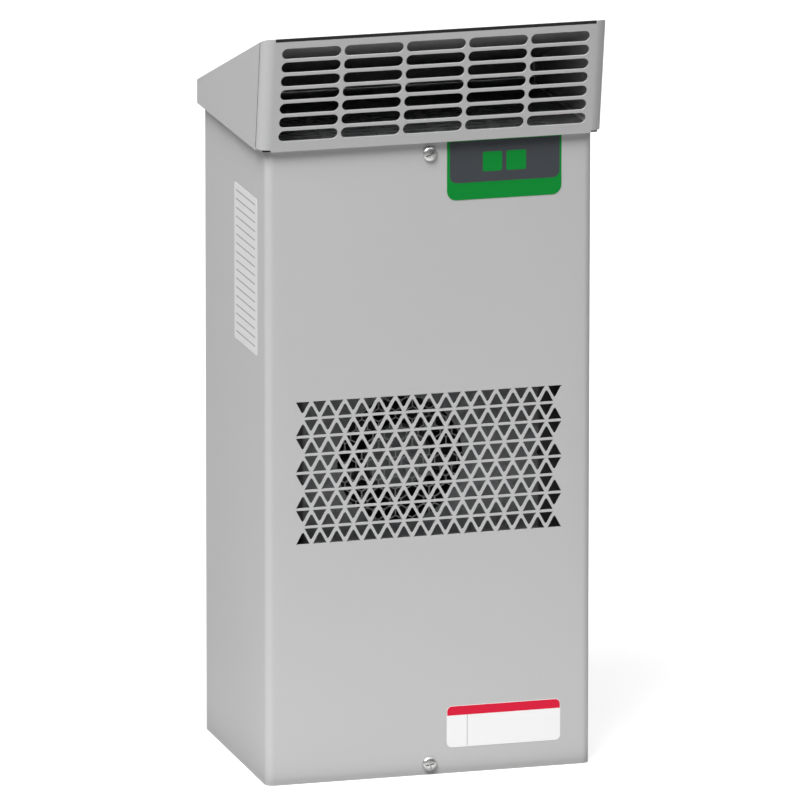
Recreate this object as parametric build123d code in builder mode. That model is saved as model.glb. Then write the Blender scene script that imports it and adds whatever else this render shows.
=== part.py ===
from build123d import *
import os
from math import sin, cos, tan, radians

os.makedirs("parts", exist_ok=True)

# Folded sheet housing
body_width = 280.0
body_depth = 191.0
cover_height = 545.0
sheet = 1.5
body_bend = 7.0
fit = 0.3

# Hood over the top of the housing
hood_overhang = 7.0
hood_foot_drop = 4.5
hood_foot_gap = 5.3
hood_plate_length = 99.4
hood_lean = 9.4
hood_bend = 10.0
hood_return = 12.2
hood_corner_trim = 1.8
roof_slope = 20.3
seal_height = 1.7

# Slots in the hood's front plate
slot_length = 49.3
slot_height = 8.1
slot_columns = 5
slot_rows = 7
slot_column_pitch = 53.2
slot_row_pitch = 12.13
slot_first_row = 14.1
slot_end_sides = 12

# Triangular holes in the housing's front
triangle_side = 11.0
triangle_pitch = 14.45
triangle_columns = 16
triangle_rows = 8
triangle_row_pitch = 15.4
triangle_row_height = 13.1
triangle_field_top = 326.2

# Screws on the centre line of the front
screw_radius = 3.0
screw_head_radius = 6.25
screw_head_height = 3.6
screw_length = 10.0
screw_clearance = 0.3
lower_screw_height = 9.4
upper_screw_drop = 14.9

# Floor and ceiling trays
floor_flange = 22.0
ceiling_flange = 28.0
drain_radius = 6.0

# Slotted screen in the ceiling, where the outdoor air leaves under the hood
exhaust_left_margin = 11.0
exhaust_right_margin = 31.0
exhaust_web = 8.0
exhaust_slot_width = 5.4
exhaust_columns = 5
exhaust_rows = 8
exhaust_row_pitch = 10.8
exhaust_first_row = 20.5
exhaust_rim = 3.0

# Plenum tray that carries the condenser fan
plenum_margin = 22.0
plenum_height = 134.0
plenum_depth = 25.0
plenum_centre_height = 265.7

# Place of the condenser fan
fan_x = -18.0
fan_height = 265.7
fan_opening_radius = 54.0

# Axial fan, the same make in both air circuits
fan_size = 119.0
fan_depth = 38.0
fan_corner_bevel = 6.0
fan_bore_radius = 57.0
fan_bore_sides = 48
fan_tip_clearance = 5.0
fan_axial_clearance = 5.5
hub_radius = 29.0
shaft_radius = 4.0
shaft_clearance = 0.05
shaft_setback = 1.0
motor_plate_radius = 30.0
motor_plate_sides = 24
motor_plate_thickness = 5.0
strut_width = 6.0
strut_count = 3
blade_count = 5
blade_chord = 34.0
blade_angle = 50.0
blade_thickness = 2.0
blade_root_depth = 3.0

# Frame of the mesh between plenum tray and fan
guard_opening = 110.0
guard_thickness = 1.0

# Coil under the air outlet
coil_overhang = 2.0
coil_depth = 80.0
coil_height = 44.0
coil_drop = 14.0
coil_end_thickness = 1.5

# Sheet between outdoor air and cabinet air
partition_setback = 108.0

# Cabinet side
back_hole_inset = 20.0
nut_hole_radius = 3.3
nut_thread_radius = 2.5
nut_thread_sides = 12
nut_across_flats = 10.0
nut_height = 5.0
inlet_size = 116.0
inlet_drop = 105.0
inlet_slats = 8
outlet_grille_setback = 15.0
outlet_grille_height = 90.0
outlet_grille_centre = 85.0
outlet_slats = 6
grille_frame = 6.0
grille_slat_width = 3.2
gasket_thickness = 3.0
gasket_width = 10.0
gasket_inset = 5.0
gasket_bar_height = 240.0
drip_tray_height = 150.0
drip_tray_gap = 21.0
drip_tray_rim = 14.0
evaporator_headroom = 59.0
evaporator_gap = 39.0
connector_width = 44.0
connector_height = 22.0
connector_depth = 16.0
connector_centre = 285.0

# Places worked out from the sizes above
lean_sin = sin(radians(hood_lean))
lean_cos = cos(radians(hood_lean))
roof_fall = tan(radians(roof_slope))
hood_width = body_width + 2 * hood_overhang
hood_foot_height = cover_height - hood_foot_drop
upper_screw_height = cover_height - upper_screw_drop
hood_reach = hood_foot_gap + (hood_plate_length + seal_height) * lean_sin
total_depth = hood_reach + body_depth + gasket_thickness
front_y = hood_reach - total_depth / 2
back_y = front_y + body_depth
body_middle_y = front_y + body_depth / 2
inner_width = body_width - 2 * (sheet + fit)
inner_front_y = front_y + sheet + fit
inner_back_y = back_y - sheet - fit
inner_depth = inner_back_y - inner_front_y
inner_middle_y = (inner_front_y + inner_back_y) / 2
partition_y = front_y + partition_setback
ceiling_z = cover_height - sheet
lining_width = inner_width - 2 * (sheet + fit)
tray_corner_bevel = body_bend - sheet - fit
plenum_width = body_width - 2 * plenum_margin
exhaust_width = body_width - exhaust_left_margin - exhaust_right_margin
exhaust_x = (exhaust_left_margin - exhaust_right_margin) / 2
exhaust_column_pitch = (exhaust_width - 2 * exhaust_rim + exhaust_web) / exhaust_columns
exhaust_slot_length = exhaust_column_pitch - exhaust_web
exhaust_depth = (exhaust_rows - 1) * exhaust_row_pitch + exhaust_slot_width + 2 * exhaust_rim
exhaust_y = front_y + exhaust_first_row + (exhaust_rows - 1) / 2 * exhaust_row_pitch
coil_width = exhaust_width + 2 * (fit + coil_overhang)
bolt_x = body_width / 2 - back_hole_inset
outlet_grille_width = 2 * (bolt_x - outlet_grille_setback)
inlet_height = cover_height - inlet_drop
drip_tray_depth = body_depth - partition_setback - drip_tray_gap
evaporator_depth = body_depth - partition_setback - evaporator_gap
evaporator_top = inlet_height - fan_size / 2 - evaporator_headroom
evaporator_height = evaporator_top - drip_tray_height - sheet

front_plane = Plane(origin=(0, front_y, 0), x_dir=(1, 0, 0), z_dir=(0, -1, 0))
back_plane = Plane(origin=(0, back_y, 0), x_dir=(-1, 0, 0), z_dir=(0, 1, 0))
hood_foot_y = front_y - hood_foot_gap
lean_plane = Plane(origin=(0, hood_foot_y, hood_foot_height), x_dir=(1, 0, 0), z_dir=(0, -lean_sin, lean_cos))


def lean_point(back, up):
    """Y and Z of a point so far behind the hood's front face and so far up along it."""
    y = hood_foot_y + back * lean_cos - up * lean_sin
    z = hood_foot_height + back * lean_sin + up * lean_cos
    return y, z


roof_start_y, roof_start_z = lean_point(sheet, hood_plate_length)
roof_plane = Plane(
    origin=(0, roof_start_y, roof_start_z),
    x_dir=(1, 0, 0),
    z_dir=(0, sin(radians(roof_slope)), cos(radians(roof_slope))),
)


def roof_z(y):
    """Height of the roof's upper face over a place from front to back."""
    return roof_start_z - (y - roof_start_y) * roof_fall


# Triangles hang or stand by turns, and each row mirrors the one above: first row, columns,
# drop of the centre below the row's top, and turn of each pattern
row_pairs = triangle_rows // 2
hanging_drop = triangle_side / (2 * 3**0.5)
standing_drop = triangle_row_height - hanging_drop
triangle_patterns = (
    (0, triangle_columns, hanging_drop, -90),
    (0, triangle_columns - 1, standing_drop, 90),
    (1, triangle_columns, standing_drop, 90),
    (1, triangle_columns - 1, hanging_drop, -90),
)

# Cover: front and both sides in one folded sheet
with BuildPart() as cover:
    with BuildSketch() as cover_outline:
        with Locations((0, body_middle_y)):
            Rectangle(body_width, body_depth)
        fillet(cover_outline.vertices().group_by(Axis.Y)[0], radius=body_bend)
    extrude(amount=cover_height)
    open_faces = cover.faces().filter_by(Axis.Z) + cover.faces().sort_by(Axis.Y)[-1:]
    offset(amount=-sheet, openings=open_faces)
    with BuildSketch(front_plane):
        for first_row, columns, drop, turn in triangle_patterns:
            middle_row = first_row + row_pairs - 1
            with Locations((0, triangle_field_top - middle_row * triangle_row_pitch - drop)):
                with GridLocations(triangle_pitch, 2 * triangle_row_pitch, columns, row_pairs):
                    RegularPolygon(triangle_side / 3**0.5, 3, rotation=turn)
        with Locations((0, lower_screw_height), (0, upper_screw_height)):
            Circle(screw_radius + screw_clearance)
    extrude(amount=-2 * sheet, mode=Mode.SUBTRACT)
cover.part.label = "cover"
export_step(cover.part, "parts/cover.step")


# Floor: tray with its rim turned up inside the cover
with BuildPart() as base_pan:
    with BuildSketch() as floor_outline:
        with Locations((0, inner_middle_y)):
            Rectangle(inner_width, inner_depth)
        chamfer(floor_outline.vertices().group_by(Axis.Y)[0], length=tray_corner_bevel)
    extrude(amount=floor_flange)
    offset(amount=-sheet, openings=base_pan.faces().sort_by(Axis.Z)[-1:])
    with BuildSketch(front_plane):
        with Locations((0, lower_screw_height)):
            Circle(screw_radius + screw_clearance)
    extrude(amount=-4 * sheet, mode=Mode.SUBTRACT)
    with BuildSketch():
        with Locations((0, (partition_y + inner_back_y) / 2)):
            Circle(drain_radius)
    extrude(amount=2 * sheet, mode=Mode.SUBTRACT)
base_pan.part.label = "base_pan"
export_step(base_pan.part, "parts/base_pan.step")


# Ceiling: tray with its rim turned down and a wide outlet over the coil
with BuildPart() as top_plate:
    with BuildSketch(Plane.XY.offset(cover_height)) as ceiling_outline:
        with Locations((0, inner_middle_y)):
            Rectangle(inner_width, inner_depth)
        chamfer(ceiling_outline.vertices().group_by(Axis.Y)[0], length=tray_corner_bevel)
    extrude(amount=-ceiling_flange)
    offset(amount=-sheet, openings=top_plate.faces().sort_by(Axis.Z)[:1])
    with BuildSketch(front_plane):
        with Locations((0, upper_screw_height)):
            Circle(screw_radius + screw_clearance)
    extrude(amount=-4 * sheet, mode=Mode.SUBTRACT)
    with BuildSketch(Plane.XY.offset(cover_height)):
        with Locations((exhaust_x, exhaust_y)):
            Rectangle(exhaust_width + 2 * fit, exhaust_depth + 2 * fit)
    extrude(amount=-2 * sheet, mode=Mode.SUBTRACT)
top_plate.part.label = "top_plate"
export_step(top_plate.part, "parts/top_plate.step")


# Slotted screen let into the ceiling's outlet
with BuildPart() as exhaust_screen:
    with BuildSketch(Plane.XY.offset(cover_height)):
        with Locations((exhaust_x, exhaust_y)):
            Rectangle(exhaust_width, exhaust_depth)
            with GridLocations(exhaust_column_pitch, exhaust_row_pitch, exhaust_columns, exhaust_rows):
                Rectangle(exhaust_slot_length, exhaust_slot_width, mode=Mode.SUBTRACT)
    extrude(amount=-sheet)
exhaust_screen.part.label = "exhaust_screen"
export_step(exhaust_screen.part, "parts/exhaust_screen.step")


# Cabinet side: back sheet with square inlet, wide outlet and four bolt holes
bolt_low = back_hole_inset * 2
bolt_high = cover_height - back_hole_inset * 2
with BuildPart() as back_plate:
    with BuildSketch(back_plane):
        Rectangle(inner_width, cover_height, align=(Align.CENTER, Align.MIN))
        with Locations((0, inlet_height)):
            Rectangle(inlet_size, inlet_size, mode=Mode.SUBTRACT)
        with Locations((0, outlet_grille_centre)):
            Rectangle(outlet_grille_width, outlet_grille_height, mode=Mode.SUBTRACT)
        with Locations((0, connector_centre)):
            Rectangle(connector_width + 2 * fit, connector_height + 2 * fit, mode=Mode.SUBTRACT)
        with Locations((-bolt_x, bolt_low), (bolt_x, bolt_low), (-bolt_x, bolt_high), (bolt_x, bolt_high)):
            Circle(nut_hole_radius, mode=Mode.SUBTRACT)
    extrude(amount=-sheet)
back_plate.part.label = "back_plate"
export_step(back_plate.part, "parts/back_plate.step")


# Weld nuts behind the four bolt holes
with BuildPart() as mounting_nuts:
    with BuildSketch(back_plane.offset(-sheet)):
        with Locations((-bolt_x, bolt_low), (bolt_x, bolt_low), (-bolt_x, bolt_high), (bolt_x, bolt_high)):
            RegularPolygon(nut_across_flats / 2, 6, major_radius=False)
            RegularPolygon(nut_thread_radius, nut_thread_sides, mode=Mode.SUBTRACT)
    extrude(amount=-nut_height)
mounting_nuts.part.label = "mounting_nuts"
export_step(mounting_nuts.part, "parts/mounting_nuts.step")


# Sealing strip round the back, with a bar between inlet and outlet
with BuildPart() as rear_gasket:
    with BuildSketch(back_plane):
        with Locations((0, cover_height / 2)):
            Rectangle(body_width - 2 * gasket_inset, cover_height - 2 * gasket_inset)
        clear_width = body_width - 2 * (gasket_inset + gasket_width)
        lower_edge = gasket_inset + gasket_width
        upper_edge = cover_height - gasket_inset - gasket_width
        bar_low = gasket_bar_height - gasket_width / 2
        bar_high = gasket_bar_height + gasket_width / 2
        with Locations((0, (lower_edge + bar_low) / 2)):
            Rectangle(clear_width, bar_low - lower_edge, mode=Mode.SUBTRACT)
        with Locations((0, (bar_high + upper_edge) / 2)):
            Rectangle(clear_width, upper_edge - bar_high, mode=Mode.SUBTRACT)
    extrude(amount=gasket_thickness)
rear_gasket.part.label = "rear_gasket"
export_step(rear_gasket.part, "parts/rear_gasket.step")


# Sheet that parts the outdoor air from the cabinet air
with BuildPart() as partition:
    with BuildSketch(Plane.XY.offset(sheet + fit)):
        with Locations((0, partition_y + sheet / 2)):
            Rectangle(lining_width, sheet)
    extrude(amount=ceiling_z - sheet - 2 * fit)
partition.part.label = "partition"
export_step(partition.part, "parts/partition.step")


# Plenum tray behind the triangular holes, open to the front
plenum_plane = Plane(origin=(0, inner_front_y, plenum_centre_height), x_dir=(1, 0, 0), z_dir=(0, 1, 0))
plate_back_y = front_y + plenum_depth + sheet
with BuildPart() as fan_plate:
    with BuildSketch(plenum_plane):
        Rectangle(plenum_width, plenum_height)
    extrude(amount=plate_back_y - inner_front_y)
    offset(amount=-sheet, openings=fan_plate.faces().sort_by(Axis.Y)[:1])
    with BuildSketch(front_plane):
        with Locations((fan_x, fan_height)):
            Circle(fan_opening_radius)
    extrude(amount=-(plenum_depth + 2 * sheet), mode=Mode.SUBTRACT)
fan_plate.part.label = "fan_plate"
export_step(fan_plate.part, "parts/fan_plate.step")


# Square frame that holds the mesh between the plenum tray and the fan
guard_plane = Plane(origin=(fan_x, plate_back_y, fan_height), x_dir=(1, 0, 0), z_dir=(0, 1, 0))
with BuildPart() as fan_guard:
    with BuildSketch(guard_plane):
        Rectangle(fan_size, fan_size)
        Rectangle(guard_opening, guard_opening, mode=Mode.SUBTRACT)
    extrude(amount=guard_thickness)
fan_guard.part.label = "fan_guard"
export_step(fan_guard.part, "parts/fan_guard.step")


# Where each fan stands: its plane lies on the side that the air enters
fan_plane = guard_plane.offset(guard_thickness)
cabinet_fan_plane = Plane(origin=(0, inner_back_y, inlet_height), x_dir=(1, 0, 0), z_dir=(0, -1, 0))
motor_plate_start = fan_depth - motor_plate_thickness
strut_reach = (fan_bore_radius + fan_size / 2) / 2


def fan_housing(plane):
    """Square housing with a round bore, and the plate and struts that carry the motor."""
    with BuildPart() as housing:
        with BuildSketch(plane) as housing_outline:
            Rectangle(fan_size, fan_size)
            chamfer(housing_outline.vertices(), length=fan_corner_bevel)
            RegularPolygon(fan_bore_radius, fan_bore_sides, major_radius=False, mode=Mode.SUBTRACT)
        extrude(amount=fan_depth)
        with BuildSketch(plane.offset(motor_plate_start)):
            with PolarLocations(strut_reach / 2, strut_count):
                Rectangle(strut_reach, strut_width)
            RegularPolygon(motor_plate_radius, motor_plate_sides)
            Circle(shaft_radius + shaft_clearance, mode=Mode.SUBTRACT)
        extrude(amount=motor_plate_thickness)
    return housing.part


# One blade, a flat plate that stands out from the fan's axis along X
blade_tip_radius = fan_bore_radius - fan_tip_clearance
rotor_height = motor_plate_start - 2 * fan_axial_clearance
blade_root = hub_radius - blade_root_depth
with BuildPart() as fan_blade:
    with BuildSketch(Plane.YZ.offset(blade_root)):
        Rectangle(blade_thickness, blade_chord)
    extrude(amount=blade_tip_radius - blade_root)


def fan_wheel(plane):
    """Hub cup, blades and shaft, with the blades cut to a round outline."""
    with BuildPart() as wheel:
        with Locations(plane.offset(rotor_height / 2)):
            with PolarLocations(0, blade_count):
                add(fan_blade.part, rotation=(blade_angle, 0, 0))
        with BuildSketch(plane):
            Circle(blade_tip_radius)
        extrude(amount=rotor_height, mode=Mode.INTERSECT)
        with BuildSketch(plane):
            Circle(hub_radius)
        extrude(amount=rotor_height)
        with BuildSketch(plane):
            Circle(shaft_radius)
        extrude(amount=rotor_height + fan_axial_clearance + motor_plate_thickness - shaft_setback)
    return wheel.part


for place, plane in (("fan", fan_plane), ("cabinet_fan", cabinet_fan_plane)):
    frame = fan_housing(plane)
    frame.label = place + "_frame"
    export_step(frame, "parts/" + frame.label + ".step")
    rotor = fan_wheel(plane.offset(fan_axial_clearance))
    rotor.label = place + "_rotor"
    export_step(rotor, "parts/" + rotor.label + ".step")


# Coil under the outlet, hung between two end sheets
coil_top = ceiling_z - fit - coil_drop
with BuildPart() as condenser_core:
    with BuildSketch(Plane.XY.offset(coil_top - coil_height)):
        with Locations((exhaust_x, exhaust_y)):
            Rectangle(coil_width, coil_depth)
    extrude(amount=coil_height)
condenser_core.part.label = "condenser_core"
export_step(condenser_core.part, "parts/condenser_core.step")

with BuildPart() as condenser_ends:
    with BuildSketch(Plane.XY.offset(coil_top - coil_height)):
        with Locations((exhaust_x, exhaust_y)):
            with GridLocations(coil_width + coil_end_thickness, 0, 2, 1):
                Rectangle(coil_end_thickness, coil_depth)
    extrude(amount=coil_height + coil_drop)
condenser_ends.part.label = "condenser_ends"
export_step(condenser_ends.part, "parts/condenser_ends.step")


# Hood front: leaning slotted plate, its rounded corners and the foot turned back to the housing
flat_half_width = hood_width / 2 - hood_bend
with BuildPart() as hood_front:
    with BuildSketch(lean_plane) as hood_section:
        Rectangle(hood_width, hood_return, align=(Align.CENTER, Align.MIN))
        fillet(hood_section.vertices().group_by(Axis.Y)[0], radius=hood_bend)
    extrude(amount=hood_plate_length)
    ends = hood_front.faces().filter_by(Axis(lean_plane.origin, lean_plane.z_dir))
    open_back = hood_front.faces().sort_by(Axis(lean_plane.origin, lean_plane.y_dir))[-1:]
    offset(amount=-sheet, openings=ends + open_back)
    split(bisect_by=roof_plane, keep=Keep.BOTTOM)
    slot_plane = Plane(origin=lean_plane.origin, x_dir=(1, 0, 0), z_dir=(0, -lean_cos, -lean_sin))
    slots_middle = slot_first_row + (slot_rows - 1) / 2 * slot_row_pitch
    with BuildSketch(slot_plane):
        with Locations((0, slots_middle)):
            with GridLocations(slot_column_pitch, slot_row_pitch, slot_columns, slot_rows):
                Rectangle(slot_length - slot_height, slot_height)
                with GridLocations(slot_length - slot_height, 0, 2, 1):
                    RegularPolygon(slot_height / 2, slot_end_sides)
    extrude(amount=-2 * sheet, mode=Mode.SUBTRACT)
    with BuildSketch(Plane.XY.offset(hood_foot_height)):
        with GridLocations(2 * (flat_half_width + hood_bend), 0, 2, 1):
            Rectangle(2 * hood_bend, total_depth)
    extrude(amount=hood_corner_trim, both=True, mode=Mode.SUBTRACT)
    with BuildSketch(Plane.XY.offset(hood_foot_height)):
        foot_start_y = hood_foot_y + sheet / 2
        foot_end_y = front_y - fit
        with Locations((0, (foot_start_y + foot_end_y) / 2)):
            Rectangle(2 * (flat_half_width - sheet), foot_end_y - foot_start_y)
    extrude(amount=sheet)
hood_front.part.label = "hood_front"
export_step(hood_front.part, "parts/hood_front.step")


# Black strip on the upper edge of the hood's front
with BuildPart() as hood_top_seal:
    with BuildSketch(lean_plane.offset(hood_plate_length)):
        Rectangle(2 * flat_half_width, sheet, align=(Align.CENTER, Align.MIN))
    extrude(amount=seal_height)
hood_top_seal.part.label = "hood_top_seal"
export_step(hood_top_seal.part, "parts/hood_top_seal.step")


# Hood side: sheet under the roof line with its foot turned in to the housing
seam_back = hood_return + fit
seam_foot_up = -seam_back * lean_sin / lean_cos
seam_low_y, seam_low_z = lean_point(seam_back, seam_foot_up)
seam_high_up = (roof_start_z - hood_foot_height - seam_back * lean_sin
                - (hood_foot_y + seam_back * lean_cos - roof_start_y) * roof_fall) / (lean_cos - lean_sin * roof_fall)
seam_high_y, seam_high_z = lean_point(seam_back, seam_high_up)
with BuildPart() as hood_side_right:
    with BuildSketch(Plane.YZ.offset(hood_width / 2)):
        with BuildLine():
            Polyline(
                (seam_low_y, seam_low_z),
                (back_y, hood_foot_height),
                (back_y, roof_z(back_y)),
                (seam_high_y, seam_high_z),
                close=True,
            )
        make_face()
    extrude(amount=-sheet)
    with BuildSketch(Plane.XY.offset(hood_foot_height)):
        with Locations((hood_width / 2 - sheet / 2, seam_low_y)):
            Rectangle(hood_overhang - fit - sheet / 2, back_y - seam_low_y, align=(Align.MAX, Align.MIN))
    extrude(amount=sheet)
hood_side_right.part.label = "hood_side_right"
export_step(hood_side_right.part, "parts/hood_side_right.step")

with BuildPart() as hood_side_left:
    mirror(hood_side_right.part, about=Plane.YZ)
hood_side_left.part.label = "hood_side_left"
export_step(hood_side_left.part, "parts/hood_side_left.step")


# Roof sheet with its rear edge turned down to the housing
roof_half_width = hood_width / 2 - sheet - fit
with BuildPart() as hood_roof:
    with BuildSketch(Plane.YZ):
        with BuildLine():
            upper_y, upper_z = lean_point(sheet + fit, hood_plate_length)
            sheet_fall = sheet / cos(radians(roof_slope))
            Polyline(
                (upper_y, roof_z(upper_y)),
                (back_y, roof_z(back_y)),
                (back_y, cover_height + fit),
                (back_y - sheet, cover_height + fit),
                (back_y - sheet, roof_z(back_y - sheet) - sheet_fall),
                (upper_y, roof_z(upper_y) - sheet_fall),
                close=True,
            )
        make_face()
    extrude(amount=roof_half_width, both=True)
    with BuildSketch(Plane.XY.offset(cover_height)) as roof_outline:
        with Locations((0, (upper_y + back_y) / 2)):
            Rectangle(2 * roof_half_width, back_y - upper_y)
        fillet(roof_outline.vertices().group_by(Axis.Y)[0], radius=hood_bend)
    extrude(amount=hood_plate_length, mode=Mode.INTERSECT)
hood_roof.part.label = "hood_roof"
export_step(hood_roof.part, "parts/hood_roof.step")


# Pan head screws that hold the cover to floor and ceiling
with BuildPart() as cover_screws:
    with BuildSketch(front_plane):
        with Locations((0, lower_screw_height), (0, upper_screw_height)):
            Circle(screw_head_radius)
    extrude(amount=screw_head_height)
    with BuildSketch(front_plane):
        with Locations((0, lower_screw_height), (0, upper_screw_height)):
            Circle(screw_radius)
    extrude(amount=-screw_length)
cover_screws.part.label = "cover_screws"
export_step(cover_screws.part, "parts/cover_screws.step")


def bar_grille(centre_height, width, height, depth, slats):
    """Frame with level slats that fills an opening of the cabinet side."""
    with BuildPart() as grille:
        with BuildSketch(back_plane):
            with Locations((0, centre_height)):
                Rectangle(width - 2 * fit, height - 2 * fit)
                Rectangle(width - 2 * grille_frame, height - 2 * grille_frame, mode=Mode.SUBTRACT)
                slat_pitch = (height - 2 * grille_frame) / (slats + 1)
                with GridLocations(0, slat_pitch, 1, slats):
                    Rectangle(width - grille_frame, grille_slat_width)
        extrude(amount=-depth)
    return grille.part


# Guard in front of the cabinet's fan
inlet_guard = bar_grille(inlet_height, inlet_size, inlet_size, sheet, inlet_slats)
inlet_guard.label = "inlet_guard"
export_step(inlet_guard, "parts/inlet_guard.step")


# Louvre in the cabinet's air outlet
outlet_grille = bar_grille(outlet_grille_centre, outlet_grille_width, outlet_grille_height, 2 * sheet, outlet_slats)
outlet_grille.label = "outlet_grille"
export_step(outlet_grille, "parts/outlet_grille.step")


# Socket for the supply on the cabinet side
with BuildPart() as power_connector:
    with BuildSketch(back_plane):
        with Locations((0, connector_centre)):
            Rectangle(connector_width, connector_height)
    extrude(amount=-connector_depth)
    with BuildSketch(back_plane):
        with Locations((0, connector_centre)):
            Rectangle(connector_width - 2 * sheet, connector_height - 2 * sheet)
    extrude(amount=-connector_depth + sheet, mode=Mode.SUBTRACT)
power_connector.part.label = "power_connector"
export_step(power_connector.part, "parts/power_connector.step")


# Condensate tray on the partition
tray_front_y = partition_y + sheet + fit
with BuildPart() as drip_tray:
    with BuildSketch(Plane.XY.offset(drip_tray_height)):
        with Locations((0, tray_front_y)):
            Rectangle(lining_width, drip_tray_depth, align=(Align.CENTER, Align.MIN))
    extrude(amount=drip_tray_rim)
    offset(amount=-sheet, openings=drip_tray.faces().sort_by(Axis.Z)[-1:])
drip_tray.part.label = "drip_tray"
export_step(drip_tray.part, "parts/drip_tray.step")


# Cabinet-side coil standing in the tray
with BuildPart() as evaporator_core:
    with BuildSketch(Plane.XY.offset(drip_tray_height + sheet)):
        with Locations((0, tray_front_y + sheet + fit)):
            Rectangle(coil_width, evaporator_depth, align=(Align.CENTER, Align.MIN))
    extrude(amount=evaporator_height)
evaporator_core.part.label = "evaporator_core"
export_step(evaporator_core.part, "parts/evaporator_core.step")
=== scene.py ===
import bpy
import math
from mathutils import Matrix, Vector


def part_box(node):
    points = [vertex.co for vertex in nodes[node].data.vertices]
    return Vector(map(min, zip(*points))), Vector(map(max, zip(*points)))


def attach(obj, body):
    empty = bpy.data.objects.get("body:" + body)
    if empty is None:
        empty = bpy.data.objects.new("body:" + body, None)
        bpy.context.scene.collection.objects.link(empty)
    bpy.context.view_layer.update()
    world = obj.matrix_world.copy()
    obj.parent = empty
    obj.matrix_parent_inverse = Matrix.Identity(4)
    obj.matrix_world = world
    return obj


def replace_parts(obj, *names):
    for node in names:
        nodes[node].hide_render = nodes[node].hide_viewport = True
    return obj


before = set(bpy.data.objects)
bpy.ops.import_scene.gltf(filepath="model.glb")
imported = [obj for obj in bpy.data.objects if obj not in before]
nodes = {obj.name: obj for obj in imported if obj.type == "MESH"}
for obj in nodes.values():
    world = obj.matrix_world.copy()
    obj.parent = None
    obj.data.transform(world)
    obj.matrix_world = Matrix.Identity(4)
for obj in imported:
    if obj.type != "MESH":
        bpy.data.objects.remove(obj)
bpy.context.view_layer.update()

mm = 0.001
coverLow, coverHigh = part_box("cover")
guardLow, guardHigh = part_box("fan_guard")
socketLow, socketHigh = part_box("power_connector")
frontY = coverLow.y
leftX = coverLow.x
fanX = (guardLow.x + guardHigh.x) / 2
fanZ = (guardLow.z + guardHigh.z) / 2
hoodLean = math.radians(9.4)
leanSin, leanCos = math.sin(hoodLean), math.cos(hoodLean)

# Axes of a flat piece: its width, its height and the way that it faces
facings = {
    "front": ((1, 0, 0), (0, 0, 1), (0, -1, 0)),
    "left": ((0, -1, 0), (0, 0, 1), (-1, 0, 0)),
    "back": ((-1, 0, 0), (0, 0, 1), (0, 1, 0)),
    "lean": ((1, 0, 0), (0, -leanSin, leanCos), (0, -leanCos, -leanSin)),
}


# Camera: the photograph's long view from the left and above

view = {
    "eye": (-3.2804, -11.5668, 3.2501),
    "forward": (0.26485, 0.93462, -0.23738),
    "roll": 0.048,  # degrees
    "lens": 668.7,
    "shift": (0.0028, -0.0166),
}


def addCamera():
    camera = bpy.data.cameras.new("photoCamera")
    camera.lens = view["lens"]
    camera.sensor_width = 36
    camera.shift_x, camera.shift_y = view["shift"]
    camera.clip_start = 0.1
    camera.clip_end = 100
    holder = bpy.data.objects.new("photoCamera", camera)
    bpy.context.scene.collection.objects.link(holder)
    turn = Vector(view["forward"]).to_track_quat("-Z", "Y").to_matrix().to_4x4()
    turn = turn @ Matrix.Rotation(math.radians(view["roll"]), 4, "Z")
    holder.matrix_world = Matrix.Translation(view["eye"]) @ turn
    bpy.context.scene.camera = holder


# Studio: soft boxes round the object, by azimuth from the front, height angle, width and power

studio = {
    "aim": (0, 0, 0.32),
    "distance": 6.0,
    "boxes": {
        "keyBox": (-45, 55, 3.2, 474),
        "rightHighBox": (45, 55, 3.2, 62),
        "leftSideBox": (-95, 40, 3.2, 39),
        "rightSideBox": (95, 25, 3.2, 75),
        "backBox": (180, 15, 3.2, 120),
    },
    "cards": {
        "frontCard": ((-0.1, -0.45, 0.004), (1.0, 0.5), 0.9),
        "footCard": ((-0.02, -0.153, 0.003), (0.6, 0.12), 0.115),
        "leftCard": ((-0.36, 0.0, 0.003), (0.4, 0.5), 0.16),
    },
    "roomLight": 0.012,
    "backdrop": 1.0,
    "floorHalf": 6.0,
    "floorWhite": 0.37,
    "floorGlow": 0.0,
    "seenWhite": 0.5,
    "seenGlow": 0.72,
}


def addLamp(name, size, power):
    lamp = bpy.data.lights.new(name, "AREA")
    lamp.shape = "RECTANGLE"
    lamp.size, lamp.size_y = size
    lamp.energy = power
    holder = bpy.data.objects.new(name, lamp)
    bpy.context.scene.collection.objects.link(holder)
    return holder


def addStudioLights():
    aim = Vector(studio["aim"])
    for name, (azimuth, height, size, power) in studio["boxes"].items():
        across, up = math.radians(azimuth), math.radians(height)
        way = Vector((math.sin(across) * math.cos(up), -math.cos(across) * math.cos(up), math.sin(up)))
        holder = addLamp(name, (size, size), power)
        turn = (-way).to_track_quat("-Z", "Y").to_matrix().to_4x4()
        holder.matrix_world = Matrix.Translation(aim + way * studio["distance"]) @ turn
    for name, (place, size, power) in studio["cards"].items():
        holder = addLamp(name, size, power)
        holder.matrix_world = Matrix.Translation(place) @ Matrix.Rotation(math.pi, 4, "X")
        holder.visible_camera = False


def addNode(tree, kind, **settings):
    node = tree.nodes.new("ShaderNode" + kind)
    for name, value in settings.items():
        setattr(node, name, value)
    return node


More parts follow.
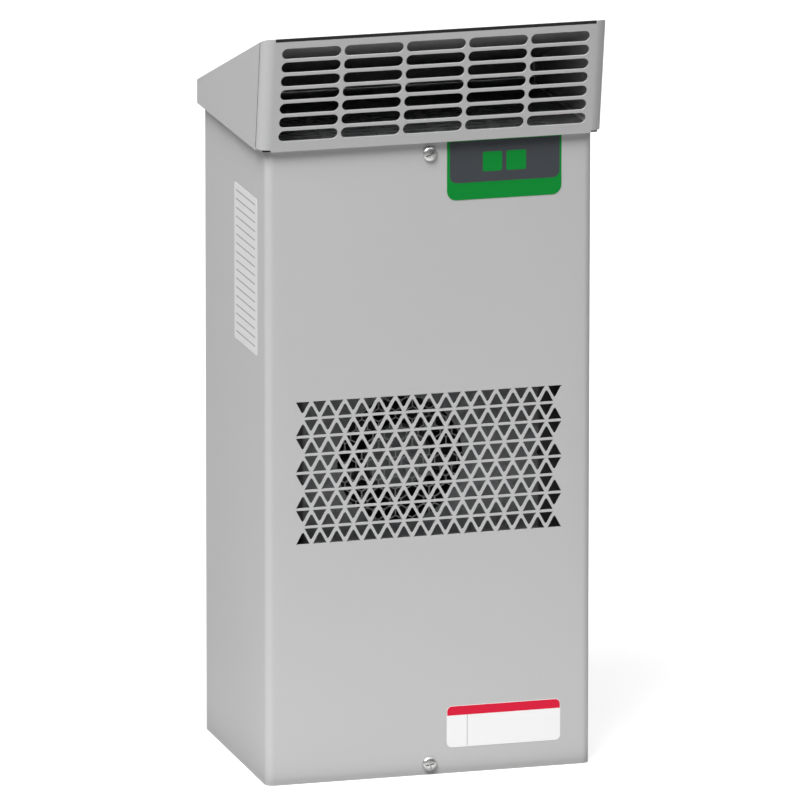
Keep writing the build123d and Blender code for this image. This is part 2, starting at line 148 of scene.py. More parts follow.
def addRoom():
    world = bpy.data.worlds.new("whiteRoom")
    bpy.context.scene.world = world
    world.use_nodes = True
    tree = world.node_tree
    tree.nodes.clear()
    out = addNode(tree, "OutputWorld")
    mix = addNode(tree, "MixShader")
    path = addNode(tree, "LightPath")
    lit = addNode(tree, "Background")
    seen = addNode(tree, "Background")
    lit.inputs["Color"].default_value = (1, 1, 1, 1)
    lit.inputs["Strength"].default_value = studio["roomLight"]
    seen.inputs["Color"].default_value = (1, 1, 1, 1)
    seen.inputs["Strength"].default_value = studio["backdrop"]
    tree.links.new(path.outputs["Is Camera Ray"], mix.inputs["Fac"])
    tree.links.new(lit.outputs[0], mix.inputs[1])
    tree.links.new(seen.outputs[0], mix.inputs[2])
    tree.links.new(mix.outputs[0], out.inputs["Surface"])


def addFloor():
    material = bpy.data.materials.new("paleFloor")
    material.use_nodes = True
    tree = material.node_tree
    tree.nodes.clear()
    out = addNode(tree, "OutputMaterial")
    path = addNode(tree, "LightPath")
    choose = addNode(tree, "MixShader")
    tree.links.new(path.outputs["Is Camera Ray"], choose.inputs["Fac"])
    tree.links.new(choose.outputs[0], out.inputs["Surface"])
    for place, white, glow in ((1, "floorWhite", "floorGlow"), (2, "seenWhite", "seenGlow")):
        matt = addNode(tree, "BsdfDiffuse")
        light = addNode(tree, "Emission")
        both = addNode(tree, "AddShader")
        matt.inputs["Color"].default_value = (studio[white], studio[white], studio[white], 1)
        light.inputs["Color"].default_value = (1, 1, 1, 1)
        light.inputs["Strength"].default_value = studio[glow]
        tree.links.new(matt.outputs[0], both.inputs[0])
        tree.links.new(light.outputs[0], both.inputs[1])
        tree.links.new(both.outputs[0], choose.inputs[place])
    bpy.ops.object.select_all(action="DESELECT")
    bpy.ops.mesh.primitive_plane_add(size=2 * studio["floorHalf"])
    floor = bpy.context.object
    floor.name = "floor"
    floor.data.materials.append(material)


bpy.context.scene.view_settings.view_transform = "Standard"
addCamera()
addStudioLights()
addRoom()
addFloor()
print("camera, lights, room and floor are in place")


# Shared effects: node groups that give grain, spangle and line masks from Object coordinates


def startGroup(name, inputs, outputs):
    group = bpy.data.node_groups.new(name, "ShaderNodeTree")
    for label, value in inputs.items():
        socket = group.interface.new_socket(label, in_out="INPUT", socket_type="NodeSocketFloat")
        socket.default_value = value
    for label, kind in outputs.items():
        group.interface.new_socket(label, in_out="OUTPUT", socket_type="NodeSocket" + kind)
    return group, group.nodes.new("NodeGroupInput"), group.nodes.new("NodeGroupOutput")


def makeGrainGroup():
    group, given, out = startGroup("fineGrain", {"Scale": 900, "Depth": 0.02}, {"Normal": "Vector", "Mask": "Float"})
    where = addNode(group, "TexCoord")
    grain = addNode(group, "TexNoise")
    grain.inputs["Detail"].default_value = 3
    bump = addNode(group, "Bump")
    bump.inputs["Distance"].default_value = 0.001
    group.links.new(where.outputs["Object"], grain.inputs["Vector"])
    group.links.new(given.outputs["Scale"], grain.inputs["Scale"])
    group.links.new(grain.outputs["Fac"], bump.inputs["Height"])
    group.links.new(given.outputs["Depth"], bump.inputs["Strength"])
    group.links.new(bump.outputs["Normal"], out.inputs["Normal"])
    group.links.new(grain.outputs["Fac"], out.inputs["Mask"])
    return group


def swingRoundOne(group, value, amount, target):
    # A value of 0 to 1 becomes a factor that moves by amount round 1
    centre = addNode(group, "Math", operation="SUBTRACT")
    centre.inputs[1].default_value = 0.5
    widen = addNode(group, "Math", operation="MULTIPLY")
    level = addNode(group, "Math", operation="ADD")
    level.inputs[1].default_value = 1.0
    group.links.new(value, centre.inputs[0])
    group.links.new(centre.outputs[0], widen.inputs[0])
    group.links.new(amount, widen.inputs[1])
    group.links.new(widen.outputs[0], level.inputs[0])
    group.links.new(level.outputs[0], target)


def makeToneGroup():
    # A slow noise that shifts a colour's brightness
    group, given, out = startGroup("toneShift", {"Scale": 8, "Amount": 0.05}, {"Factor": "Float"})
    where = addNode(group, "TexCoord")
    noise = addNode(group, "TexNoise")
    noise.inputs["Detail"].default_value = 4
    group.links.new(where.outputs["Object"], noise.inputs["Vector"])
    group.links.new(given.outputs["Scale"], noise.inputs["Scale"])
    swingRoundOne(group, noise.outputs["Fac"], given.outputs["Amount"], out.inputs["Factor"])
    return group


def makeSpangleGroup():
    # Zinc crystals: cells of slightly different brightness
    group, given, out = startGroup("zincSpangle", {"Scale": 110, "Amount": 0.3}, {"Factor": "Float"})
    where = addNode(group, "TexCoord")
    cells = addNode(group, "TexVoronoi")
    split = addNode(group, "SeparateColor")
    group.links.new(where.outputs["Object"], cells.inputs["Vector"])
    group.links.new(given.outputs["Scale"], cells.inputs["Scale"])
    group.links.new(cells.outputs["Color"], split.inputs["Color"])
    swingRoundOne(group, split.outputs["Red"], given.outputs["Amount"], out.inputs["Factor"])
    return group


def makeStripeGroup():
    # Mask of thin lines: 1 on the line, 0 between, from a coordinate in metres
    group, given, out = startGroup("stripes", {"Place": 0, "Pitch": 0.002, "Share": 0.3}, {"Mask": "Float"})
    turns = addNode(group, "Math", operation="DIVIDE")
    part = addNode(group, "Math", operation="FRACT")
    line = addNode(group, "Math", operation="LESS_THAN")
    group.links.new(given.outputs["Place"], turns.inputs[0])
    group.links.new(given.outputs["Pitch"], turns.inputs[1])
    group.links.new(turns.outputs[0], part.inputs[0])
    group.links.new(part.outputs[0], line.inputs[0])
    group.links.new(given.outputs["Share"], line.inputs[1])
    group.links.new(line.outputs[0], out.inputs["Mask"])
    return group


grainGroup = makeGrainGroup()
toneGroup = makeToneGroup()
spangleGroup = makeSpangleGroup()
stripeGroup = makeStripeGroup()


def useGroup(tree, group, **values):
    node = addNode(tree, "Group", node_tree=group)
    for name, value in values.items():
        node.inputs[name].default_value = value
    return node


def tinted(tree, colour, factor):
    # Colour times a brightness factor
    scale = addNode(tree, "VectorMath", operation="SCALE")
    scale.inputs[0].default_value = colour
    tree.links.new(factor, scale.inputs["Scale"])
    return scale.outputs[0]


def mixed(tree, mask, first, second):
    blend = addNode(tree, "Mix", data_type="RGBA")
    tree.links.new(mask, blend.inputs["Factor"])
    for place, colour in ((6, first), (7, second)):
        if isinstance(colour, tuple):
            blend.inputs[place].default_value = (*colour, 1)
        else:
            tree.links.new(colour, blend.inputs[place])
    return blend.outputs[2]


def objectAxes(tree):
    where = addNode(tree, "TexCoord")
    split = addNode(tree, "SeparateXYZ")
    tree.links.new(where.outputs["Object"], split.inputs[0])
    return split.outputs


def makeMaterial(name, look, toned=True):
    # A material with fine grain in its surface, and slow changes of tone unless its colour is set apart
    material = bpy.data.materials.new(name)
    material.use_nodes = True
    tree = material.node_tree
    shader = tree.nodes["Principled BSDF"]
    shader.inputs["Metallic"].default_value = look.get("metallic", 0)
    shader.inputs["IOR"].default_value = look.get("ior", 1.5)
    grain = useGroup(tree, grainGroup, Scale=look["grainScale"], Depth=look["grainDepth"])
    tree.links.new(grain.outputs["Normal"], shader.inputs["Normal"])
    spread = addNode(tree, "MapRange")
    rough = look["roughness"]
    spread.inputs["To Min"].default_value = rough - look.get("roughnessSpread", 0.05)
    spread.inputs["To Max"].default_value = rough + look.get("roughnessSpread", 0.05)
    tree.links.new(grain.outputs["Mask"], spread.inputs["Value"])
    tree.links.new(spread.outputs["Result"], shader.inputs["Roughness"])
    if toned:
        tone = useGroup(tree, toneGroup, Scale=look["toneScale"], Amount=look["toneAmount"])
        tree.links.new(tinted(tree, look["colour"], tone.outputs["Factor"]), shader.inputs["Base Color"])
    return material, tree, shader


paintLook = {
    "colour": (0.53, 0.53, 0.53),
    "roughness": 0.5,
    "grainScale": 1100,
    "grainDepth": 0.035,
    "toneScale": 7,
    "toneAmount": 0.03,
}


def makePowderCoat():
    return makeMaterial("powderCoat", paintLook)[0]


galvanisedLook = {
    "colour": (0.36, 0.37, 0.38),
    "metallic": 0.35,
    "roughness": 0.5,
    "roughnessSpread": 0.1,
    "grainScale": 700,
    "grainDepth": 0.02,
    "spangleScale": 130,
    "spangleAmount": 0.35,
}


def makeGalvanised(name, look):
    material, tree, shader = makeMaterial(name, look, toned=False)
    spangle = useGroup(tree, spangleGroup, Scale=look["spangleScale"], Amount=look["spangleAmount"])
    colour = tinted(tree, look["colour"], spangle.outputs["Factor"])
    tree.links.new(colour, shader.inputs["Base Color"])
    return material, tree, shader, colour


# Painted shade: a darker copy of the galvanised sheet, with painted shade at its side edges and in a small hole
plenumLook = {
    **galvanisedLook,
    "colour": (0.19, 0.195, 0.20),
    "sideShade": (0.055, 0.055, 0.055),
    "shadeFrom": 100.0 * mm,
    "shadeTo": 103.0 * mm,
    "hole": (102.0 * mm, 264.0 * mm, 2.0 * mm),
    "holeShade": (0.004, 0.004, 0.004),
}


def discMask(tree, axes, centreX, centreZ, radius):
    # 1 within a radius of a point as seen from the front
    flat = addNode(tree, "CombineXYZ")
    tree.links.new(axes["X"], flat.inputs[0])
    tree.links.new(axes["Z"], flat.inputs[2])
    reach = addNode(tree, "VectorMath", operation="DISTANCE")
    tree.links.new(flat.outputs[0], reach.inputs[0])
    reach.inputs[1].default_value = (centreX, 0, centreZ)
    inside = addNode(tree, "Math", operation="LESS_THAN")
    inside.inputs[1].default_value = radius
    tree.links.new(reach.outputs["Value"], inside.inputs[0])
    return inside.outputs[0]


def makePlenumSheet():
    # Galvanised sheet, darker than the plain one as painted shade behind the cover, with painted shade that dims it
    # towards its two side edges and a painted dark disc near the right one for the shade in a small hole
    material, tree, shader, bright = makeGalvanised("plenumSheet", plenumLook)
    axes = objectAxes(tree)
    away = addNode(tree, "Math", operation="ABSOLUTE")
    tree.links.new(axes["X"], away.inputs[0])
    dim = addNode(tree, "MapRange", interpolation_type="SMOOTHSTEP")
    dim.inputs["From Min"].default_value = plenumLook["shadeFrom"]
    dim.inputs["From Max"].default_value = plenumLook["shadeTo"]
    tree.links.new(away.outputs[0], dim.inputs["Value"])
    # Painted shade: the sheet darkens towards its two side edges
    colour = mixed(tree, dim.outputs["Result"], bright, plenumLook["sideShade"])
    # Painted shade: a dark disc stands for the inside of a small hole
    colour = mixed(tree, discMask(tree, axes, *plenumLook["hole"]), colour, plenumLook["holeShade"])
    tree.links.new(colour, shader.inputs["Base Color"])
    return material


mouldedLook = {
    "colour": (0.018, 0.018, 0.019),
    "roughness": 0.5,
    "grainScale": 1500,
    "grainDepth": 0.06,
    "toneScale": 30,
    "toneAmount": 0.2,
}

rotorLook = {**mouldedLook, "hubColour": (0.16, 0.165, 0.17), "hubRadius": 26.5 * mm}


def makeRotorPlastic():
    # Black blades and a grey steel cup on the hub
    material, tree, shader = makeMaterial("rotorPlastic", rotorLook, toned=False)
    hub = discMask(tree, objectAxes(tree), fanX, fanZ, rotorLook["hubRadius"])
    colour = mixed(tree, hub, rotorLook["colour"], rotorLook["hubColour"])
    tree.links.new(colour, shader.inputs["Base Color"])
    return material


foamLook = {
    "colour": (0.012, 0.012, 0.012),
    "roughness": 0.85,
    "grainScale": 600,
    "grainDepth": 0.4,
    "toneScale": 60,
    "toneAmount": 0.4,
}

zincLook = {
    "colour": (0.74, 0.74, 0.73),
    "metallic": 1.0,
    "roughness": 0.36,
    "roughnessSpread": 0.08,
    "grainScale": 900,
    "grainDepth": 0.02,
    "toneScale": 200,
    "toneAmount": 0.12,
}

meshLook = {
    "colour": (0.33, 0.335, 0.34),
    "metallic": 0.2,
    "roughness": 0.45,
    "grainScale": 900,
    "grainDepth": 0.02,
    "toneScale": 40,
    "toneAmount": 0.2,
}

finLook = {
    "colour": (0.30, 0.31, 0.32),
    "gapShade": (0.01, 0.01, 0.01),
    "roughness": 0.4,
    "metallic": 0.7,
    "grainScale": 500,
    "grainDepth": 0.03,
    "pitch": 1.8 * mm,
    "share": 0.25,
}


def makeCoilFins(name, look):
    # Thin upright fins with painted shade in the gaps between them
    material, tree, shader = makeMaterial(name, look, toned=False)
    axes = objectAxes(tree)
    fins = useGroup(tree, stripeGroup, Pitch=look["pitch"], Share=look["share"])
    tree.links.new(axes["X"], fins.inputs["Place"])
    # Painted shade: the gaps between the fins get a near-black colour
    tree.links.new(mixed(tree, fins.outputs["Mask"], look["gapShade"], look["colour"]), shader.inputs["Base Color"])
    return material


printLook = {
    "roughness": 0.38,
    "ior": 1.3,
    "grainScale": 1600,
    "grainDepth": 0.012,
    "toneScale": 25,
    "toneAmount": 0.03,
}


def makePrint(name, colour):
    return makeMaterial(name, {**printLook, "colour": colour})[0]


ruleLook = {
    "white": (0.78, 0.78, 0.78),
    "line": (0.34, 0.34, 0.34),
    "pitch": 7.5 * mm,
    "share": 0.15,
    "from": 33.0,
    "to": 92.0,
}


def makeRuledPrint():
    # White plate with a few fine ruled lines that stop short of its edges
    material, tree, shader = makeMaterial("ruledPrint", printLook, toned=False)
    axes = objectAxes(tree)
    rules = useGroup(tree, stripeGroup, Pitch=ruleLook["pitch"], Share=ruleLook["share"])
    tree.links.new(axes["Z"], rules.inputs["Place"])
    mask = rules.outputs["Mask"]
    for operation, limit in (("GREATER_THAN", ruleLook["from"]), ("LESS_THAN", ruleLook["to"])):
        inside = addNode(tree, "Math", operation=operation)
        inside.inputs[1].default_value = frontY + limit * mm
        tree.links.new(axes["Y"], inside.inputs[0])
        both = addNode(tree, "Math", operation="MULTIPLY")
        tree.links.new(mask, both.inputs[0])
        tree.links.new(inside.outputs[0], both.inputs[1])
        mask = both.outputs[0]
    tree.links.new(mixed(tree, mask, ruleLook["white"], ruleLook["line"]), shader.inputs["Base Color"])
    return material


powderCoat = makePowderCoat()
galvanised = makeGalvanised("galvanisedSheet", galvanisedLook)[0]
# Painted shade: a darker copy of the galvanised sheet, used for the top plate and the exhaust screen
shadedGalvanised = makeGalvanised("shadedGalvanised", {**galvanisedLook, "colour": (0.20, 0.205, 0.21)})[0]
plenumSheet = makePlenumSheet()
moulded = makeMaterial("mouldedPlastic", mouldedLook)[0]
rotorPlastic = makeRotorPlastic()
foam = makeMaterial("foamRubber", foamLook)[0]
zinc = makeMaterial("zincPlate", zincLook)[0]
meshMetal = makeMaterial("meshMetal", meshLook)[0]
coilFins = makeCoilFins("coilFins", finLook)
# Painted shade: a near-black copy of the coil fins, used for the condenser core
shadedFins = makeCoilFins("shadedFins", {**finLook, "colour": (0.02, 0.02, 0.02), "gapShade": (0.002, 0.002, 0.002)})
greenPrint = makePrint("greenPrint", (0.001, 0.25, 0.032))
darkPrint = makePrint("darkPrint", (0.056, 0.062, 0.070))
whitePrint = makePrint("whitePrint", (0.90, 0.90, 0.90))
redPrint = makePrint("redPrint", (0.70, 0.006, 0.04))
greyPrint = makePrint("greyPrint", (0.35, 0.35, 0.35))
ruledPrint = makeRuledPrint()

nodeMaterials = {
    "cover": powderCoat,
    "base_pan": powderCoat,
    "top_plate": shadedGalvanised,
    "exhaust_screen": shadedGalvanised,
    "back_plate": powderCoat,
    "mounting_nuts": zinc,
    "rear_gasket": foam,
    "partition": galvanised,
    "fan_plate": plenumSheet,
    "fan_guard": meshMetal,
    "fan_frame": moulded,
    "fan_rotor": rotorPlastic,
    "condenser_core": shadedFins,
    "condenser_ends": galvanised,
    "hood_front": powderCoat,
    "hood_top_seal": foam,
    "hood_side_right": powderCoat,
    "hood_side_left": powderCoat,
    "hood_roof": powderCoat,
    "cover_screws": zinc,
    "cabinet_fan_frame": moulded,
    "cabinet_fan_rotor": moulded,
    "inlet_guard": powderCoat,
    "outlet_grille": powderCoat,
    "power_connector": moulded,
    "drip_tray": galvanised,
    "evaporator_core": coilFins,
}
for name, material in nodeMaterials.items():
    mesh = nodes[name].data
    mesh.materials.clear()
    mesh.materials.append(material)
print("materials are on the CAD nodes")


def layOn(facing, place):
    across, up, out = (Vector(axis) for axis in facings[facing])
    return Matrix.Translation(place) @ Matrix((across, up, out)).transposed().to_4x4()


def settle(piece, name, material, body="unit"):
    bpy.ops.object.select_all(action="DESELECT")
    piece.select_set(True)
    bpy.context.view_layer.objects.active = piece
    bpy.ops.object.transform_apply(location=True, rotation=True, scale=True)
    piece.name = name
    piece.data.name = name
    piece.data.materials.clear()
    piece.data.materials.append(material)
    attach(piece, body)
    return piece


def pickVertices(piece, test):
    # Leaves the piece in edit mode with only the chosen vertices picked
    bpy.ops.object.mode_set(mode="EDIT")
    bpy.ops.mesh.select_mode(type="VERT")
    bpy.ops.mesh.select_all(action="DESELECT")
    bpy.ops.object.mode_set(mode="OBJECT")
    for corner in piece.data.vertices:
        corner.select = bool(test(corner.co))
    bpy.ops.object.mode_set(mode="EDIT")


def pickFaces(piece, test):
    bpy.ops.object.mode_set(mode="EDIT")
    bpy.ops.mesh.select_mode(type="FACE")
    bpy.ops.mesh.select_all(action="DESELECT")
    bpy.ops.object.mode_set(mode="OBJECT")
    for face in piece.data.polygons:
        face.select = bool(test(face.normal))
    bpy.ops.object.mode_set(mode="EDIT")


def addBlock(low, high):
    # Box between two corners in millimetres
    bpy.ops.object.select_all(action="DESELECT")
    bpy.ops.mesh.primitive_cube_add(size=1)
    block = bpy.context.object
    block.scale = [(b - a) * mm for a, b in zip(low, high)]
    block.location = [(a + b) / 2 * mm for a, b in zip(low, high)]
    bpy.ops.object.transform_apply(location=True, rotation=False, scale=True)
    return block


def spread(piece, count, step):
    array = piece.modifiers.new("row", "ARRAY")
    array.count = count
    array.use_relative_offset = False
    array.use_constant_offset = True
    array.constant_offset_displace = [value * mm for value in step]
    bpy.context.view_layer.objects.active = piece
    bpy.ops.object.modifier_apply(modifier=array.name)


def cutAway(piece, tool):
    cut = piece.modifiers.new("cut", "BOOLEAN")
    cut.operation = "DIFFERENCE"
    cut.solver = "EXACT"
    cut.object = tool
    bpy.ops.object.select_all(action="DESELECT")
    bpy.context.view_layer.objects.active = piece
    bpy.ops.object.modifier_apply(modifier=cut.name)
    bpy.data.objects.remove(tool, do_unlink=True)


def joinAll(pieces):
    bpy.ops.object.select_all(action="DESELECT")
    for piece in pieces:
        piece.select_set(True)
    bpy.context.view_layer.objects.active = pieces[0]
    bpy.ops.object.join()
    return pieces[0]


def raiseFace(piece, rise):
    # A flat piece gets its thickness in millimetres, upwards
    bpy.context.view_layer.objects.active = piece
    bpy.ops.object.mode_set(mode="EDIT")
    bpy.ops.mesh.select_all(action="SELECT")
    bpy.ops.mesh.extrude_region_move(TRANSFORM_OT_translate={"value": (0, 0, rise * mm)})
    bpy.ops.mesh.select_all(action="SELECT")
    bpy.ops.mesh.normals_make_consistent(inside=False)
    bpy.ops.object.mode_set(mode="OBJECT")


def smoothBends(piece, angle=25):
    bpy.ops.object.select_all(action="DESELECT")
    piece.select_set(True)
    bpy.context.view_layer.objects.active = piece
    bpy.ops.object.shade_smooth_by_angle(angle=math.radians(angle))


# Folded cover: bent sheet with rows of triangles, sharp at the base and round at the tip

coverSpec = {
    "sheet": 1.5,
    "bend": 7.0,
    "bendSteps": 8,
    "base": 11.9,
    "height": 11.1,
    "tip": 2.6,
    "tipSteps": 6,
    "pitch": 14.45,
    "rowPitch": 15.4,
    "rowHeight": 13.45,
    "rowPairs": 4,
    "fieldTop": 326.4,
    "toolDepth": 8.0,
    "screwHole": 3.3,
    "screwHoleSides": 24,
    "screwHeights": (9.4, 530.1),
}


def bendSheet(low, high, openSides, edgeTest, radius, steps, sheet):
    # Box without its open sides, with bent edges and a wall inwards
    shell = addBlock(low, high)
    pickFaces(shell, lambda normal: any(normal.dot(Vector(side)) > 0.9 for side in openSides))
    bpy.ops.mesh.delete(type="FACE")
    bpy.ops.object.mode_set(mode="OBJECT")
    bpy.ops.object.mode_set(mode="EDIT")
    bpy.ops.mesh.select_mode(type="EDGE")
    bpy.ops.mesh.select_all(action="DESELECT")
    bpy.ops.object.mode_set(mode="OBJECT")
    corners = shell.data.vertices
    for edge in shell.data.edges:
        edge.select = bool(edgeTest(corners[edge.vertices[0]].co, corners[edge.vertices[1]].co))
    bpy.ops.object.mode_set(mode="EDIT")
    bpy.ops.mesh.bevel(offset=radius * mm, segments=steps, affect="EDGES")
    bpy.ops.object.mode_set(mode="OBJECT")
    wall = shell.modifiers.new("wall", "SOLIDIFY")
    wall.thickness = sheet * mm
    wall.offset = -1
    wall.use_even_offset = True
    bpy.ops.object.modifier_apply(modifier=wall.name)
    return shell


def makeTriangleRow(firstRow, columns, hanging):
    spec = coverSpec
    bpy.ops.object.select_all(action="DESELECT")
    bpy.ops.mesh.primitive_circle_add(vertices=3, radius=1, fill_type="NGON")
    hole = bpy.context.object
    hole.scale = (spec["base"] / math.sqrt(3) * mm, spec["height"] * 2 / 3 * mm, 1)
    bpy.ops.object.transform_apply(location=False, rotation=False, scale=True)
    pickVertices(hole, lambda co: co.y > 0)
    bpy.ops.mesh.bevel(offset=spec["tip"] * mm, segments=spec["tipSteps"], affect="VERTICES")
    bpy.ops.object.mode_set(mode="OBJECT")
    raiseFace(hole, spec["toolDepth"])
    hole.rotation_euler = (0, 0, math.pi if hanging else 0)
    bpy.ops.object.transform_apply(location=False, rotation=True, scale=False)
    spread(hole, columns, (spec["pitch"], 0, 0))
    spread(hole, spec["rowPairs"], (0, -2 * spec["rowPitch"], 0))
    top = spec["fieldTop"] - firstRow * spec["rowPitch"]
    up = top - spec["height"] / 3 if hanging else top - spec["rowHeight"] + spec["height"] / 3
    across = -(columns - 1) / 2 * spec["pitch"]
    hole.matrix_world = layOn("front", (across * mm, frontY + spec["toolDepth"] / 2 * mm, up * mm))
    return hole


def makeCover():
    spec = coverSpec
    low, high = ([value / mm for value in corner] for corner in (coverLow, coverHigh))
    frontEdge = coverLow.y + 0.5 * mm
    cover = bendSheet(
        low, high, ((0, 0, 1), (0, 0, -1), (0, 1, 0)),
        lambda a, b: a.y < frontEdge and b.y < frontEdge and abs(a.x - b.x) < mm,
        spec["bend"], spec["bendSteps"], spec["sheet"],
    )
    rows = [
        makeTriangleRow(0, 16, True),
        makeTriangleRow(0, 15, False),
        makeTriangleRow(1, 16, False),
        makeTriangleRow(1, 15, True),
    ]
    for row in rows:
        cutAway(cover, row)
    for up in spec["screwHeights"]:
        bpy.ops.object.select_all(action="DESELECT")
        bpy.ops.mesh.primitive_cylinder_add(
            vertices=spec["screwHoleSides"], radius=spec["screwHole"] * mm, depth=spec["toolDepth"] * mm
        )
        hole = bpy.context.object
        hole.matrix_world = layOn("front", (0, frontY, up * mm))
        cutAway(cover, hole)
    smoothBends(cover)
    return settle(cover, "foldedCover", powderCoat)


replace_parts(makeCover(), "cover")
print("folded cover is in")


# Hood front: leaning plate with slots, bent returns, a notched top edge and a foot turned inwards

hoodSpec = {
    "halfWidth": 147.0,
    "length": 99.4,
    "returnDepth": 11.0,
    "cutMargin": 4.0,
    "bend": 10.0,
    "bendSteps": 10,
    "sheet": 1.5,
    "slotLength": 50.5,
    "slotHeight": 9.5,
    "slotPitch": (53.12, 12.11),
    "slotFirst": (0.35, 13.65),
    "slotCount": (5, 7),
    "slotEndShare": 0.499,
    "slotEndSteps": 8,
    "toolDepth": 8.0,
    "notchFrom": 96.9,
    "stripTop": 99.3,
    "stripGap": 0.1,
    "trim": 1.8,
    "trimReach": 25.0,
    "footDrop": 4.5,
    "footGap": 5.3,
    "footLap": 0.75,
    "footClearance": 0.3,
    "roofSlope": 20.3,
    "roofSeat": 0.02,
}


def makeSlots():
    spec = hoodSpec
    columns, rows = spec["slotCount"]
    bpy.ops.object.select_all(action="DESELECT")
    bpy.ops.mesh.primitive_plane_add(size=1)
    slot = bpy.context.object
    slot.scale = (spec["slotLength"] * mm, spec["slotHeight"] * mm, 1)
    bpy.ops.object.transform_apply(location=False, rotation=False, scale=True)
    bpy.ops.object.mode_set(mode="EDIT")
    bpy.ops.mesh.select_mode(type="VERT")
    bpy.ops.mesh.select_all(action="SELECT")
    endRadius = spec["slotHeight"] * spec["slotEndShare"] * mm
    bpy.ops.mesh.bevel(offset=endRadius, segments=spec["slotEndSteps"], affect="VERTICES")
    bpy.ops.object.mode_set(mode="OBJECT")
    raiseFace(slot, spec["toolDepth"])
    spread(slot, columns, (spec["slotPitch"][0], 0, 0))
    spread(slot, rows, (0, spec["slotPitch"][1], 0))
    slot.location = (
        (spec["slotFirst"][0] - (columns - 1) / 2 * spec["slotPitch"][0]) * mm,
        spec["slotFirst"][1] * mm,
        -spec["toolDepth"] / 2 * mm,
    )
    bpy.ops.object.transform_apply(location=True, rotation=False, scale=False)
    return slot


def makeHoodFront():
    spec = hoodSpec
    half, flat = spec["halfWidth"], spec["halfWidth"] - spec["bend"]
    hood = bendSheet(
        (-half, 0, -spec["returnDepth"]), (half, spec["length"], 0), ((0, 1, 0), (0, -1, 0), (0, 0, -1)),
        lambda a, b: a.z > -mm and b.z > -mm and abs(a.x - b.x) < mm,
        spec["bend"], spec["bendSteps"], spec["sheet"],
    )
    cutAway(hood, makeSlots())
    margin = spec["cutMargin"]
    cutAway(hood, addBlock((-flat, spec["notchFrom"], -margin), (flat, spec["length"] + margin, margin)))
    hood.matrix_world = leanPlace
    bpy.ops.object.select_all(action="DESELECT")
    hood.select_set(True)
    bpy.context.view_layer.objects.active = hood
    bpy.ops.object.transform_apply(location=True, rotation=True, scale=True)
    bpy.ops.object.mode_set(mode="EDIT")
    bpy.ops.mesh.select_all(action="SELECT")
    slope = math.radians(spec["roofSlope"])
    roofStart = leanPlace @ Vector((0, (spec["length"] + spec["roofSeat"]) * mm, -spec["sheet"] * mm))
    bpy.ops.mesh.bisect(
        plane_co=roofStart, plane_no=(0, math.sin(slope), math.cos(slope)), use_fill=True, clear_outer=True
    )
    bpy.ops.object.mode_set(mode="OBJECT")
    footUp, front, reach = footZ / mm, frontY / mm, spec["trimReach"]
    for side in (-1, 1):
        low, high = sorted((side * flat, side * (half + margin)))
        cutAway(hood, addBlock((low, front - reach, footUp - margin), (high, front + reach, footUp + spec["trim"])))
    foot = addBlock(
        (-flat + spec["sheet"], front - spec["footGap"] + spec["footLap"], footUp),
        (flat - spec["sheet"], front - spec["footClearance"], footUp + spec["sheet"]),
    )
    hood = joinAll([hood, foot])
    smoothBends(hood)
    return settle(hood, "hoodFront", powderCoat)


def makeStrip():
    spec = hoodSpec
    gap = spec["stripGap"]
    flat = spec["halfWidth"] - spec["bend"] - gap
    strip = addBlock((-flat, spec["notchFrom"], -spec["sheet"]), (flat, spec["stripTop"], -gap))
    strip.matrix_world = leanPlace
    return settle(strip, "hoodStrip", foam)


# Black foam blocks: beside the hood's returns and under its corners they are painted shade in those gaps, and behind
# its feet the foam closes the seam

darkBlockSpec = {
    # The first two are painted shade: black blocks in the gaps beside the returns and under the corners; the last is
    # a foam seal
    "hoodSeamShade": {"low": (145.6, 0.5, -12.6), "high": (146.9, 92.9, -11.0), "leaning": True},
    "hoodFootShade": {"low": (135.6, -3.2, 540.6), "high": (143.0, -0.3, 542.2), "leaning": False},
    "hoodRearSeal": {"low": (140.4, 189.3, 542.1), "high": (145.2, 190.9, 545.2), "leaning": False},
}


def makeDarkBlockPair(name, spec):
    low, high = spec["low"], spec["high"]
    for suffix, side in (("Left", -1), ("Right", 1)):
        nearX, farX = sorted((side * low[0], side * high[0]))
        # A black block: painted shade beside the returns and under the corners, a foam seal behind the feet
        darkBlock = addBlock((nearX, *low[1:]), (farX, *high[1:]))
        darkBlock.matrix_world = leanPlace if spec["leaning"] else Matrix.Translation((0, frontY, 0))
        settle(darkBlock, name + suffix, foam)


footZ = coverHigh.z - hoodSpec["footDrop"] * mm
leanPlace = layOn("lean", (0, frontY - hoodSpec["footGap"] * mm, footZ))
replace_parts(makeHoodFront(), "hood_front")
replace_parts(makeStrip(), "hood_top_seal")
for name, spec in darkBlockSpec.items():
    makeDarkBlockPair(name, spec)
print("hood front, its strip and its seals are in")


# Plates and labels without words: low and high corner on their face, thickness and how far they stand off

